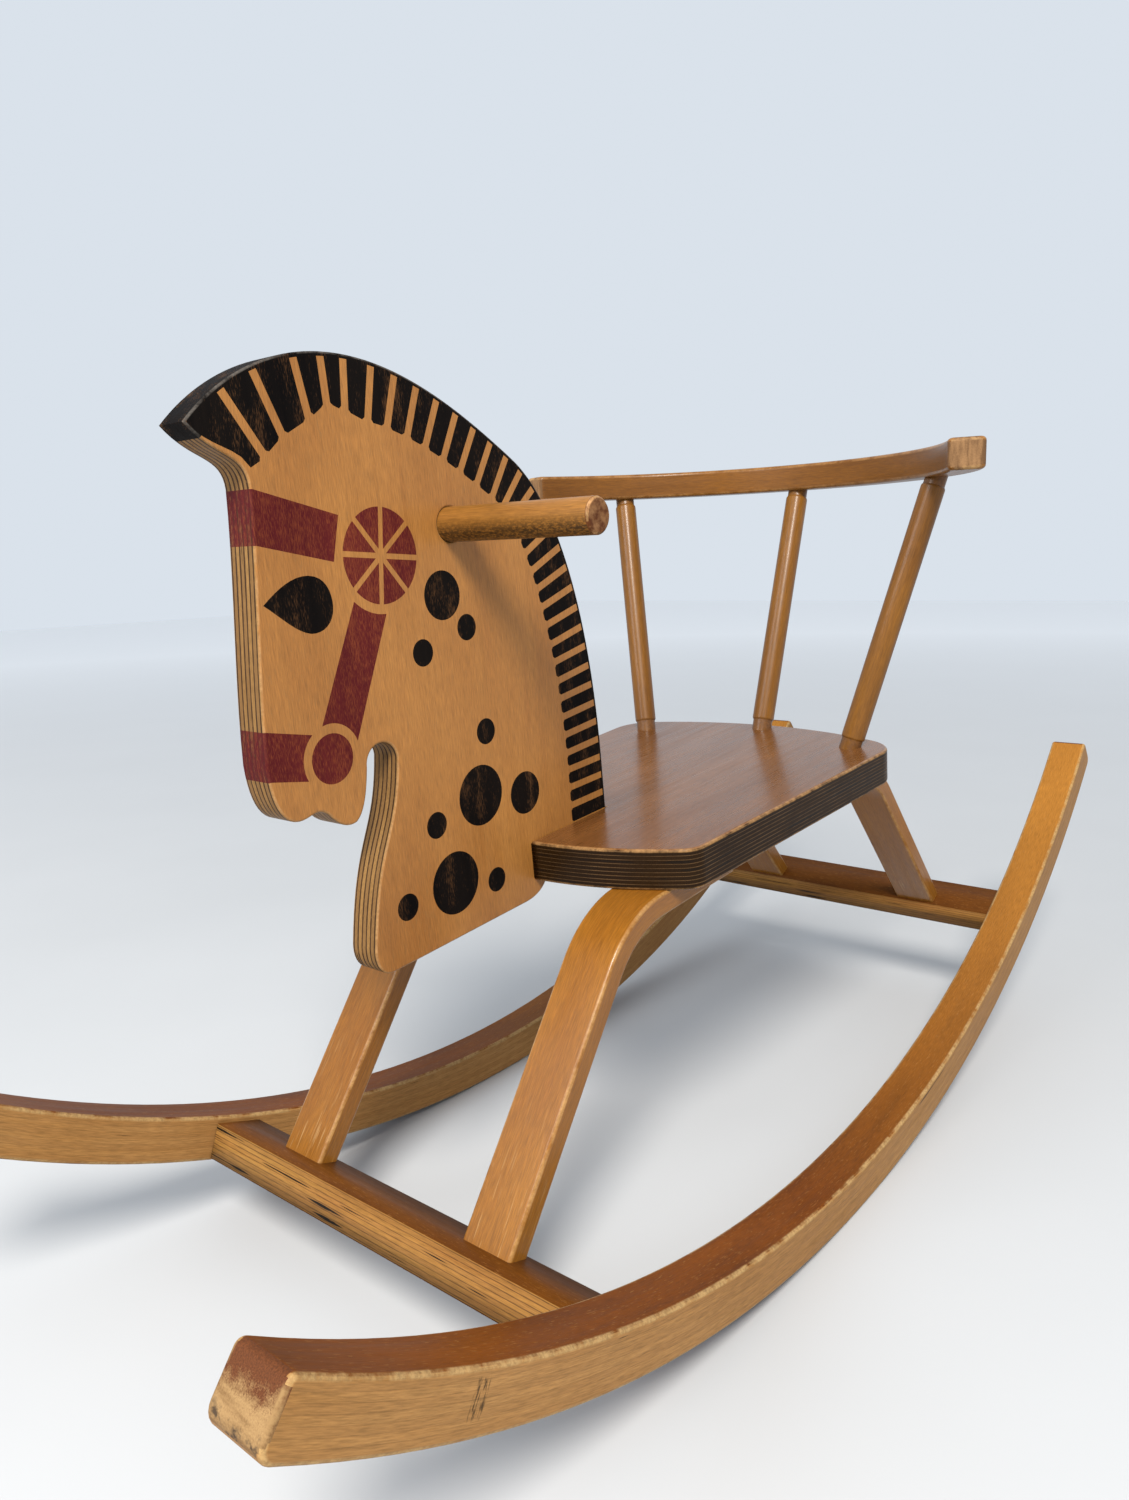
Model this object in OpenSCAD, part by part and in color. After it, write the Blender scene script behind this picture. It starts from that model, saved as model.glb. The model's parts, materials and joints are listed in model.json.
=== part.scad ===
// Rocking horse: a flat plywood horse's head set into a seat that stands on
// two bentwood rockers. +X points the way the horse faces, +Y to its left.
// The parts are drawn on the bench, with the seat level and the lowest point
// of the rockers' arc at the origin. at_rest() then tips the whole horse
// nose down, to where it balances, and centres it on the floor.

/* [Rockers] */
// Outer radius of the rockers, which is the radius that rolls on the floor
rocker_r = 810; // [760:5:860]
// Height of a rocker's section, measured along the radius
rocker_h = 29.5; // [26:0.5:34]
// Width of a rocker's section
rocker_w = 32; // [28:0.5:36]
// Overall width across the two rockers
rocker_span = 368; // [340:1:400]
// Angle from the lowest point to the rockers' front ends
rocker_front = 41.5; // [38:0.5:44]
// Angle from the lowest point to the rockers' rear ends
rocker_rear = 38.4; // [34:0.1:42]
// Nose-down tip at which the horse balances on its rockers
rest_pitch = 5.1; // [0:0.1:12]

/* [Crossbars and legs] */
// Width of a crossbar along the rockers
crossbar_w = 33.5; // [31:0.5:36]
// Thickness of a crossbar
crossbar_t = 23; // [21:0.5:25]
// How far a crossbar's top lies below the rockers' top
crossbar_drop = 4; // [2:0.5:6]
// Angle along the arc to the front crossbar
front_crossbar_angle = 25; // [24:0.5:26]
// Angle along the arc to the rear crossbar
rear_crossbar_angle = 22.3; // [21.3:0.1:23.3]
// Width of a leg across the horse
leg_w = 36; // [30:1:38]
// Thickness of a leg
leg_t = 15; // [12:0.5:16]
// Slope of the front legs from the floor
front_leg_slope = 49.7; // [48.7:0.1:50.7]
// Slope of the rear legs from the floor
rear_leg_slope = 51; // [50:0.1:52]
// Distance from the middle of the horse to the middle of a leg
leg_y = 81; // [76:0.5:86]
// Outer radius of a leg's bend under the seat
leg_bend_r = 76; // [70:1:95]
// Length of the part of a leg that lies under the seat
leg_run = 86; // [80:1:95]

/* [Seat] */
// Height of the seat's top when the seat is level
seat_top = 279; // [275:1:283]
// Thickness of the seat
seat_t = 27; // [24:1:28]
// Front of the seat, on its centre line
seat_front = 186.5; // [184:0.5:190]
// Back of the seat, on its centre line
seat_back = 152.5; // [152:0.5:158]
// Radius of the seat's front edge
seat_front_r = 215; // [205:5:240]
// Radius of the seat's back edge
seat_back_r = 288; // [270:2:310]
// Half width of the seat at the middle of its length
seat_half = 124; // [121:0.5:127]
// Angle at which the seat's sides open towards the back
seat_flare = 3; // [2:0.1:4]
// Radius of the seat's front corners
seat_front_corner = 16; // [10:1:22]
// Radius of the seat's rear corners
seat_rear_corner = 34; // [24:1:38]

/* [Head] */
// Thickness of the head, and width of the slot that it fits
head_t = 21; // [18:1:22]
// Diameter of the handle bar's grips
handle_d = 20; // [18:1:22]
// Length of the handle bar
handle_l = 236; // [200:1:250]
// Place of the handle bar along the horse
handle_x = 228.5; // [224:0.5:234]
// Height of the handle bar when the seat is level
handle_z = 485; // [480:0.5:490]

/* [Backrest] */
// Radius of the back rail, at the middle of its section
rail_r = 208.5; // [205:0.5:215]
// Thickness of the back rail, front to back
rail_t = 25.5; // [23:0.5:29]
// Height of the back rail
rail_h = 22; // [20:1:26]
// Half of the angle that the back rail sweeps
rail_half_angle = 69.7; // [62:0.1:74]
// Slope of the back rail, rising towards its ends
rail_slope = 4; // [2:0.5:5]
// Height of the rail's underside above its centre of curvature
rail_z = 493.5; // [487:0.5:499]
// Diameter of a spindle
spindle_d = 18.5; // [17:0.5:20]
// Diameter of a spindle's round tenons
tenon_d = 16.5; // [14:0.5:16.5]
// Angle from the middle spindle to a side spindle, at the rail
spindle_spread = 45; // [42:1:48]

/* [Hidden] */
$fn = 96;

left = 1;
right = -1;
front = 1;
rear = -1;
margin = 1;              // how far a cutter runs past the face that it opens

// Rockers
rocker_tip_r = 4;        // rounding of a rocker end's top corner
rocker_heel_r = 8;       // rounding of a rocker end's bottom corner
rocker_inner_r = rocker_r - rocker_h;
rocker_y = rocker_span / 2 - rocker_w / 2;

// Crossbars
crossbar_l = rocker_span - 2 * rocker_w;
crossbar_top_r = rocker_inner_r + crossbar_drop;
foot_offset = 7;         // a leg stands this far inwards on its crossbar
foot_depth = 15;         // depth of the mortise that takes a leg
peg_d = 8;               // dowels between crossbar and rocker
peg_l = 44;
peg_gap = 17;

// Legs
leg_top = seat_top - seat_t;
screw_d = 4;
screw_l = 34;
screw_head_d = 8;
screw_head_h = 3.5;
screw_inset = 20;        // from either end of a leg's run to a screw

// Head, as seen from the horse's left; heights are those of a level seat
crown = [307, 456.5];    // centre of the round crown
crown_r = 120;
forelock_angle = 46.5;   // from the horizontal to the forelock's tip
crown_end = [307, 576.5];
neck_back = 104.5;       // back of the head where it enters the seat
head_dowel_d = 8;
head_dowel_l = 40;
handle_chamfer = 1.5;
handle_swell = 0.5;      // the bar is this much thicker where it is glued into the head

// Backrest
rail_centre_x = -16;     // centre of curvature of the rail
rail_corner_r = 5;
rail_tenon = 16;         // depth of the round tenons in the rail
seat_tenon = 20;         // depth of the round tenons in the seat
tenon_show = 7;          // length of tenon left showing at either end
foot_ring_x = 13;        // the spindles stand on a circle about this point
foot_ring_r = 154;
foot_spread = 40;
mouth_d = 20;            // round recess in the seat at the foot of a leaning spindle
mouth_depth = 0.6;

beech = [0.72, 0.47, 0.2];
birch = [0.85, 0.6, 0.33];
brown = [0.55, 0.33, 0.17];
steel = [0.7, 0.7, 0.72];

// Points along an arc, in degrees counted from the x axis
function arc(c, r, from, to, n) =
    [for (i = [0:n]) let (a = from + (to - from) * i / n) c + r * [cos(a), sin(a)]];

// Points along a cubic curve, without its first point
function curve(a, b, c, d, n) =
    [for (i = [1:n]) let (t = i / n, s = 1 - t)
        s * s * s * a + 3 * s * s * t * b + 3 * s * t * t * c + t * t * t * d];

// A point at radius r of a downward-pointing arc, phi degrees from its bottom
function on_arc(r, phi) = r * [sin(phi), -cos(phi)];

// The direction along that arc, towards growing phi
function along_arc(phi) = [cos(phi), sin(phi)];

// One end of a curved bar, from inside to outside, with both corners rounded.
// The first and last points lie just off the bar, so that the cut is clean.
function bar_end(r_in, r_out, phi, side, tip_r, heel_r) =
    let (place = function (r, back) on_arc(r, phi) - side * back * along_arc(phi))
    concat([place(r_in - 0.3, tip_r + 1.2)],
           [for (a = [15:15:90]) place(r_in + tip_r * (1 - cos(a)), tip_r * (1 - sin(a)))],
           [for (a = [90:-15:15]) place(r_out - heel_r * (1 - cos(a)), heel_r * (1 - sin(a)))],
           [place(r_out + 0.3, heel_r + 1.2)]);

function reversed(points) = [for (i = [len(points) - 1:-1:0]) points[i]];

rocker_front_end =
    bar_end(rocker_inner_r, rocker_r, rocker_front, front, rocker_tip_r, rocker_heel_r);
rocker_rear_end =
    bar_end(rocker_inner_r, rocker_r, -rocker_rear, rear, rocker_tip_r, rocker_heel_r);

// The horse's length, from the ends of its rockers once it is tipped
function tipped_x(p) = p.x * cos(rest_pitch) + p.y * sin(rest_pitch);
reach_front = max([for (p = rocker_front_end) tipped_x(p)]);
reach_rear = min([for (p = rocker_rear_end) tipped_x(p)]);
centre_shift = -(reach_front + reach_rear) / 2;

// Tips the horse to its balance and centres it on the floor
module at_rest() {
    translate([centre_shift, 0, rocker_r])
        rotate([0, rest_pitch, 0])
        translate([0, 0, -rocker_r])
        children();
}

// Stands a drawing of the horse's side upright and gives it a thickness
module upright(thickness) {
    rotate([90, 0, 0]) linear_extrude(thickness, center = true) children();
}

// A flat bar bent to an arc about the origin, lowest at phi = 0
module curved_bar(r_in, r_out, start_end, finish_end, phi_start, phi_finish) {
    reach = 1.5 * r_out;
    intersection() {
        difference() {
            circle(r_out, $fn = 360);
            circle(r_in, $fn = 360);
        }
        polygon(concat([[0, 0]], finish_end,
                       [on_arc(reach, phi_finish),
                        on_arc(reach, (phi_start + phi_finish) / 2),
                        on_arc(reach, phi_start)],
                       reversed(start_end)));
    }
}

// ---- Rockers and crossbars ----

// Places its children on a crossbar: x runs along the rockers, z = 0 is its top
module on_crossbar(end) {
    angle = end == front ? front_crossbar_angle : -rear_crossbar_angle;
    translate([0, 0, rocker_r])
        rotate([0, -angle, 0])
        translate([0, 0, -crossbar_top_r])
        children();
}

// The dowels that join one end of a crossbar to a rocker
module pegs(end, side) {
    on_crossbar(end)
        for (i = [-1, 1])
            translate([i * peg_gap / 2, side * crossbar_l / 2, -crossbar_t / 2])
                rotate([90, 0, 0])
                cylinder(d = peg_d, h = peg_l, center = true);
}

module rocker(side) {
    color(beech) difference() {
        translate([0, side * rocker_y, rocker_r])
            upright(rocker_w)
            curved_bar(rocker_inner_r, rocker_r, rocker_rear_end, rocker_front_end,
                       -rocker_rear, rocker_front);
        pegs(front, side);
        pegs(rear, side);
    }
}

module crossbar(end) {
    color(beech) difference() {
        on_crossbar(end)
            translate([-crossbar_w / 2, -crossbar_l / 2, -crossbar_t])
            cube([crossbar_w, crossbar_l, crossbar_t]);
        for (side = [left, right]) {
            pegs(end, side);
            leg_blank(end, side);
        }
    }
}

module crossbar_dowels(end) {
    color(birch) for (side = [left, right]) pegs(end, side);
}

// ---- Legs ----

function leg_slope(end) = end == front ? front_leg_slope : rear_leg_slope;

// Where the middle of a leg meets the top of its crossbar
function foot(end) =
    let (phi = end == front ? front_crossbar_angle : -rear_crossbar_angle)
    [0, rocker_r] + on_arc(crossbar_top_r, phi) - end * foot_offset * along_arc(phi);

// Unit vectors up a leg and out of its outer face
function leg_up(end) = [-end * cos(leg_slope(end)), sin(leg_slope(end))];
function leg_out(end) = [end * sin(leg_slope(end)), cos(leg_slope(end))];

// The centre of a leg's bend, a bend radius from its outer face and the seat
function bend_centre(end) =
    let (n = leg_out(end),
         face = foot(end) * n + leg_t / 2,
         z = leg_top - leg_bend_r)
    [(face - leg_bend_r - z * n.y) / n.x, z];

function leg_outline(end) =
    let (c = bend_centre(end),
         n = leg_out(end),
         toe = foot(end) - foot_depth * leg_up(end),
         heel = c.x - end * leg_run,
         tilt = 90 - end * (90 - atan2(n.y, end * n.x)),
         inner_r = leg_bend_r - leg_t)
    concat([toe - n * leg_t / 2, toe + n * leg_t / 2],
           arc(c, leg_bend_r, tilt, 90, 12),
           [[heel, leg_top], [heel, leg_top - leg_t]],
           arc(c, inner_r, 90, tilt, 12));

module leg_blank(end, side) {
    translate([0, side * leg_y, 0]) upright(leg_w) polygon(leg_outline(end));
}

// The two screws that hold a leg's run up to the seat, heads downwards
module screw_pair(end, side) {
    x = bend_centre(end).x;
    for (step = [screw_inset, leg_run - screw_inset])
        translate([x - end * step, side * leg_y, leg_top - leg_t]) {
            cylinder(d = screw_d, h = screw_l);
            cylinder(d1 = screw_head_d, d2 = screw_d, h = screw_head_h);
        }
}

module leg(end, side) {
    color(birch) difference() {
        leg_blank(end, side);
        screw_pair(end, side);
    }
}

module leg_screws() {
    color(steel)
        for (end = [front, rear], side = [left, right])
            screw_pair(end, side);
}

// ---- Seat ----

// The centre of a corner that rounds off the seat's side and an end arc.
// end_x is the arc's middle, towards front or rear, and side_half is the
// seat's half width at x = 0.
function corner_centre(end, end_x, end_r, r) =
    let (c = end_x - end * end_r,
         n = [sin(seat_flare), cos(seat_flare)],
         u = end * [n.y, -n.x],
         p = [0, seat_half] - r * n - [c, 0],
         b = p * u,
         t = -b + sqrt(b * b - p * p + (end_r - r) * (end_r - r)))
    p + t * u + [c, 0];

// Half of the seat's outline, from the front to the back
function seat_half_outline() =
    let (f = corner_centre(front, seat_front, seat_front_r, seat_front_corner),
         b = corner_centre(rear, -seat_back, seat_back_r, seat_rear_corner),
         f_x = seat_front - seat_front_r,
         b_x = seat_back_r - seat_back,
         f_turn = atan2(f.y, f.x - f_x),
         b_turn = atan2(b.y, b.x - b_x))
    concat(arc([f_x, 0], seat_front_r, 0, f_turn, 9),
           arc(f, seat_front_corner, f_turn, 90 - seat_flare, 6),
           arc(b, seat_rear_corner, 90 - seat_flare, b_turn, 8),
           arc([b_x, 0], seat_back_r, b_turn, 180, 12));

function mirrored_back(points) =
    [for (i = [len(points) - 2:-1:1]) [points[i].x, -points[i].y]];

module seat() {
    half = seat_half_outline();
    color(brown) difference() {
        translate([0, 0, leg_top])
            linear_extrude(seat_t)
            polygon(concat(half, mirrored_back(half)));
        translate([neck_back, -head_t / 2, leg_top - margin])
            cube([seat_front - neck_back + margin, head_t, seat_t + 2 * margin]);
        for (end = [front, rear], side = [left, right]) screw_pair(end, side);
        for (side = [left, 0, right]) {
            spindle_blank(side, tenon_d);
            translate(spindle_foot(side) - [0, 0, mouth_depth])
                cylinder(d = mouth_d, h = mouth_depth + margin);
        }
        head_peg();
    }
}

// ---- Head and handle ----

// The head's outline, from the back of the neck over the crown to the nose,
// down the throat to the chest, and back under the seat
function head_outline() =
    concat([[neck_back, leg_top], [neck_back, 307]],
           curve([neck_back, 307], [neck_back, 420], [131.5, 493.5], [170, 520], 16),
           curve([170, 520], [211, 548.5], [257, 576.5], crown_end, 14),
           reversed(arc(crown, crown_r, forelock_angle, 88, 14)),
           // forelock
           curve(crown + crown_r * [cos(forelock_angle), sin(forelock_angle)],
                 [375, 526], [359.5, 530], [359.5, 513], 12),
           // face, nose and mouth
           curve([359.5, 513], [362.5, 470], [372, 419], [374.5, 377], 6),
           curve([374.5, 377], [374.3, 355], [368, 344.3], [357, 345], 8),
           curve([357, 345], [350.5, 345.5], [347, 349], [341, 343.5], 5),
           curve([341, 343.5], [334, 334], [328, 332.5], [323, 334], 5),
           // jaw
           curve([323, 334], [316, 338], [313, 352], [311.2, 361.7], 8),
           arc([300.2, 361.7], 11, 0, 180, 12),
           // chest
           curve([289.2, 361.7], [296, 316], [311, 321], [322.5, 258], 14),
           curve([322.5, 258], [324, 249], [320, 240], [311, 240], 6),
           // under the seat
           [[195, 240]],
           curve([195, 240], [185, 240], [175, 244], [172.5, leg_top], 6));

// The dowel that runs from the end of the seat's slot into the head
module head_peg() {
    translate([neck_back, 0, leg_top + seat_t / 2])
        rotate([0, 90, 0])
        cylinder(d = head_dowel_d, h = head_dowel_l, center = true);
}

module handle_axis() {
    translate([handle_x, 0, handle_z]) rotate([90, 0, 0]) children();
}

module horse_head() {
    color(birch) difference() {
        upright(head_t) polygon(head_outline());
        handle_axis() cylinder(d = handle_d + handle_swell, h = head_t + 2 * margin, center = true);
        head_peg();
    }
}

module head_dowel() {
    color(birch) head_peg();
}

module handle_bar() {
    body_l = handle_l - 2 * handle_chamfer;
    color(beech) handle_axis() {
        cylinder(d = handle_d, h = body_l, center = true);
        cylinder(d = handle_d + handle_swell, h = head_t, center = true);
        for (side = [left, right])
            mirror([0, 0, side == left ? 0 : 1])
                translate([0, 0, body_l / 2])
                cylinder(d1 = handle_d, d2 = handle_d - 2 * handle_chamfer, h = handle_chamfer);
    }
}

// ---- Backrest ----

// Where a spindle meets the rail's underside and the seat's top
function spindle_head(side) =
    let (psi = side * spindle_spread, reach = rail_r * cos(psi))
    [rail_centre_x - reach * cos(rail_slope), rail_r * sin(psi), rail_z - reach * sin(rail_slope)];
function spindle_foot(side) =
    let (psi = side * foot_spread)
    [foot_ring_x - foot_ring_r * cos(psi), foot_ring_r * sin(psi), seat_top];

// Lays z along a spindle, with z = 0 at the seat
module along_spindle(side) {
    run = spindle_head(side) - spindle_foot(side);
    translate(spindle_foot(side))
        rotate([0, atan2(norm([run.x, run.y]), run.z), atan2(run.y, run.x)])
        rotate([0, 0, 90])
        children();
}

function spindle_length(side) = norm(spindle_head(side) - spindle_foot(side));

// The full length of a spindle, tenons included, at one diameter
module spindle_blank(side, d) {
    along_spindle(side)
        translate([0, 0, -seat_tenon])
        cylinder(d = d, h = seat_tenon + spindle_length(side) + rail_tenon);
}

module spindle(side) {
    color(beech) {
        spindle_blank(side, tenon_d);
        along_spindle(side)
            translate([0, 0, tenon_show])
            cylinder(d = spindle_d, h = spindle_length(side) - 2 * tenon_show);
    }
}

module back_rail() {
    r_in = rail_r - rail_t / 2;
    r_out = rail_r + rail_t / 2;
    color(beech) difference() {
        translate([rail_centre_x, 0, rail_z])
            rotate([0, -rail_slope, 0])
            rotate([0, 0, -90])
            linear_extrude(rail_h)
            curved_bar(r_in, r_out,
                       bar_end(r_in, r_out, -rail_half_angle, rear, rail_corner_r, rail_corner_r),
                       bar_end(r_in, r_out, rail_half_angle, front, rail_corner_r, rail_corner_r),
                       -rail_half_angle, rail_half_angle);
        for (side = [left, 0, right]) spindle_blank(side, tenon_d);
    }
}

at_rest() rocker(left);  // left_rocker
at_rest() rocker(right);  // right_rocker
at_rest() crossbar(front);  // front_crossbar
at_rest() crossbar(rear);  // rear_crossbar
at_rest() crossbar_dowels(front);  // front_crossbar_dowels
at_rest() crossbar_dowels(rear);  // rear_crossbar_dowels
at_rest() leg(front, left);  // front_left_leg
at_rest() leg(front, right);  // front_right_leg
at_rest() leg(rear, left);  // rear_left_leg
at_rest() leg(rear, right);  // rear_right_leg
at_rest() leg_screws();
at_rest() seat();
at_rest() horse_head();
at_rest() head_dowel();
at_rest() handle_bar();
at_rest() spindle(left);  // left_spindle
at_rest() spindle(0);  // centre_spindle
at_rest() spindle(right);  // right_spindle
at_rest() back_rail();
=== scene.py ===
import json
import math

import bmesh
import bpy
from mathutils import Matrix, Vector
from mathutils.geometry import delaunay_2d_cdt


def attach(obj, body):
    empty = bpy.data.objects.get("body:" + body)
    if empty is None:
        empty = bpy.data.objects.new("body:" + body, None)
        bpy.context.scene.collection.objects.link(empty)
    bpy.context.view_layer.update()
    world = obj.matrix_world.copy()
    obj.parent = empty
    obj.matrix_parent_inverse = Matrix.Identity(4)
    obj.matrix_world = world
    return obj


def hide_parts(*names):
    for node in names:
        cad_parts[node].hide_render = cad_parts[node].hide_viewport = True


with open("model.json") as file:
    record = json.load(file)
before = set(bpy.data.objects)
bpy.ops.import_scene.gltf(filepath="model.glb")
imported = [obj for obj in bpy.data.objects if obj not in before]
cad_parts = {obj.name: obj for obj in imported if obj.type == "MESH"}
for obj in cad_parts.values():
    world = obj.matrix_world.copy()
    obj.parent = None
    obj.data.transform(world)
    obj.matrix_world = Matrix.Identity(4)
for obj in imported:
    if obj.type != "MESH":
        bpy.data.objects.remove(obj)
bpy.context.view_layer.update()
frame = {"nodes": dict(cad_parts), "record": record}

# The pieces are drawn on the bench, in millimetres, with the seat level and the
# lowest point of the rockers' arc at the origin. BENCH then tips them to the
# attitude of the frame, which the record's seat_top mount gives.
MM = 0.001
FRONT, REAR = 1, -1
LEFT, RIGHT = 1, -1

# Rockers and crossbars
ROCKER_R = 810
ROCKER_H = 29.5
ROCKER_W = 32
ROCKER_Y = 168
ROCKER_FRONT = 41.5
ROCKER_REAR = 38.4
ROCKER_TIP_R = 4
ROCKER_HEEL_R = 8
ROCKER_CENTRE = Vector((0, ROCKER_R))
CROSSBAR_W = 33.5
CROSSBAR_T = 23
CROSSBAR_L = 304
CROSSBAR_TOP_R = ROCKER_R - ROCKER_H + 4
CROSSBAR_PHI = {FRONT: 25, REAR: -22.3}

# Legs
LEG_W = 36
LEG_T = 15
LEG_Y = 81
LEG_SLOPE = {FRONT: 49.7, REAR: 51}
LEG_BEND_R = 76
LEG_RUN = 86
FOOT_OFFSET = 7
FOOT_DEPTH = 15
SCREW_INSET = 20
SCREW_D = 4
SCREW_L = 34
SCREW_HEAD_D = 8
SCREW_HEAD_H = 3.5
SCREW_DRIVE_DEPTH = 1.6
SCREW_PROUD = 0.15

# Seat
SEAT_TOP = 279
SEAT_T = 27
SEAT_BOTTOM = SEAT_TOP - SEAT_T
SEAT_FRONT = 186.5
SEAT_BACK = 152.5
SEAT_FRONT_R = 215
SEAT_BACK_R = 288
SEAT_HALF = 124
SEAT_FLARE = 3
SEAT_CORNER_R = {FRONT: 16, REAR: 34}
NECK_BACK = 104.5

# Head and handle
HEAD_T = 21
HANDLE_D = 20
HANDLE_L = 236
HANDLE_AT = Vector((228.5, 0, 485))
CROWN = Vector((307, 456.5))
CROWN_R = 120
FORELOCK_ANGLE = 46.5

# Backrest
RAIL_R = 208.5
RAIL_T = 25.5
RAIL_H = 22
RAIL_HALF_ANGLE = 69.7
RAIL_SLOPE = 4
RAIL_Z = 493.5
RAIL_X = -16
RAIL_CORNER_R = 5
SPINDLE_D = 18.5
TENON_D = 16.5
TENON_SHOW = 7
TENON_HIDDEN = 4
SPINDLE_SPREAD = 45
FOOT_RING_X = 13
FOOT_RING_R = 154
FOOT_SPREAD = 40

# End grain shows on faces this near the ends of the grain, where they cut across it
END_DEPTH = 3
END_STEEPNESS = 0.6

seat_mount = next(m for m in frame["record"]["mounts"] if m["name"] == "seat_top")
TIP = Matrix.Rotation(math.atan2(seat_mount["axis"][0], seat_mount["axis"][2]), 4, "Y")
SEAT_POINT = TIP @ Vector((0, 0, SEAT_TOP * MM))
BENCH = Matrix.Translation(Vector(seat_mount["pos_m"]) - SEAT_POINT) @ TIP


# ---- Drawing in two dimensions ----

def polar(angle, r=1.0):
    """A vector at an angle in degrees."""
    return Vector((r * math.cos(math.radians(angle)), r * math.sin(math.radians(angle))))


def arc(centre, r, start, end, n):
    return [Vector(centre) + polar(start + (end - start) * i / n, r) for i in range(n + 1)]


def curve(a, b, c, d, n):
    """Points along a cubic curve, without its first point."""
    points = []
    for i in range(1, n + 1):
        t = i / n
        s = 1 - t
        points.append(s**3 * Vector(a) + 3 * s * s * t * Vector(b)
                      + 3 * s * t * t * Vector(c) + t**3 * Vector(d))
    return points


def area(loop):
    return sum(a.cross(b) for a, b in zip(loop, loop[1:] + loop[:1])) / 2


def anticlockwise(loop):
    loop = [Vector(p) for p in loop]
    return loop if area(loop) > 0 else loop[::-1]


def clean(loop, least=0.02):
    """The loop without points that repeat their neighbour."""
    return [p for i, p in enumerate(loop) if (p - loop[i - 1]).length > least]


def corner_normal(before, at, after):
    """Outward direction at a corner of an anticlockwise loop, as long as its mitre."""
    u = (at - before).normalized()
    v = (after - at).normalized()
    n = Vector((u.y, -u.x)) + Vector((v.y, -v.x))
    n.normalize()
    return n / max(0.4, n.dot(Vector((u.y, -u.x))))


def grown(loop, step):
    """An anticlockwise loop moved outwards, or inwards where step is negative."""
    n = len(loop)
    return [loop[i] + step * corner_normal(loop[i - 1], loop[i], loop[(i + 1) % n])
            for i in range(n)]


# ---- Solids ----

class Solid:
    """A closed mesh being drawn, with the attributes that its material reads."""

    def __init__(self):
        self.bm = bmesh.new()
        self.wear = self.bm.verts.layers.float.new("wear")

    def vert(self, co, wear=0.0):
        v = self.bm.verts.new(co)
        v[self.wear] = wear
        return v

    def face(self, verts, material=0, smooth=True):
        f = self.bm.faces.new(verts)
        f.material_index = material
        f.smooth = smooth
        return f

    def join(self, low, high, material=0):
        """Quads between two rings of vertices."""
        n = len(low)
        for i in range(n):
            j = (i + 1) % n
            self.face((low[i], low[j], high[j], high[i]), material)


def filled(outline, holes, paint):
    """Fills an outline around its holes with triangles. Returns the points, and each
    triangle with the material that the paint over it gives."""
    points, faces = [], []
    for loop in [outline] + holes + [loop for _, loop in paint]:
        faces.append(list(range(len(points), len(points) + len(loop))))
        points += loop
    flat, _, triangles, _, _, inside = delaunay_2d_cdt(points, [], faces, 1, 1e-4)
    first_paint = 1 + len(holes)
    kept = []
    for triangle, ids in zip(triangles, inside):
        if 0 in ids and not any(1 <= i < first_paint for i in ids):
            colour = max((i for i in ids if i >= first_paint), default=None)
            kept.append((triangle, 0 if colour is None else paint[colour - first_paint][0]))
    return flat, kept


def rim_of(triangles):
    """The border edges of some triangles, each with its triangle's material."""
    rim = {}
    for triangle, material in triangles:
        for a, b in zip(triangle, triangle[1:] + triangle[:1]):
            rim[(a, b)] = material
    return {edge: material for edge, material in rim.items() if edge[::-1] not in rim}


def slab(outline, thickness, edge_r, holes=(), paint=(), steps=4):
    """A flat board of the outline, with rounded edges. Its drawing lies in x and z
    and its thickness runs along y. paint lists (material, loop) pairs: a loop
    colours the part of both faces that it covers, and the edge beside it."""
    solid = Solid()
    flat, triangles = filled(grown(clean(anticlockwise(outline)), -edge_r),
                             [grown(clean(anticlockwise(hole)), edge_r) for hole in holes],
                             [(material, clean(anticlockwise(loop))) for material, loop in paint])
    used = sorted({v for triangle, _ in triangles for v in triangle})
    half = thickness / 2
    caps = {}
    for side in (FRONT, REAR):
        caps[side] = {v: solid.vert((flat[v].x, side * half, flat[v].y)) for v in used}
        for triangle, material in triangles:
            order = triangle[::-1] if side == FRONT else triangle
            solid.face([caps[side][v] for v in order], material, smooth=False)
    rim = rim_of(triangles)
    after = {a: b for a, b in rim}
    before = {b: a for a, b in rim}
    rings = {}
    for v in after:
        out = corner_normal(flat[before[v]], flat[v], flat[after[v]])
        ring = [caps[FRONT][v]]
        for side in (FRONT, REAR):
            for step in range(1, steps + 1):
                k = step if side == FRONT else steps + 1 - step
                turn = math.radians(90 * k / steps)
                at = flat[v] + out * edge_r * math.sin(turn)
                depth = side * (half - edge_r * (1 - math.cos(turn)))
                ring.append(solid.vert((at.x, depth, at.y), 1.0 if k < steps else 0.0))
        rings[v] = ring + [caps[REAR][v]]
    for (a, b), material in rim.items():
        for i in range(len(rings[a]) - 1):
            solid.face((rings[a][i], rings[b][i], rings[b][i + 1], rings[a][i + 1]), material)
    return solid


def turned(profile, sides=48, end_material=1):
    """A turned piece along z. profile lists (z, radius, wear) from end to end."""
    solid = Solid()
    rings = []
    for z, r, wear in profile:
        rings.append([solid.vert((*polar(360 * i / sides, r), z), wear) for i in range(sides)])
    for low, high in zip(rings, rings[1:]):
        solid.join(low, high)
    for ring, top in ((rings[0], False), (rings[-1], True)):
        order = ring if top else ring[::-1]
        solid.face(order, end_material, smooth=False)
    return solid


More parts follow.
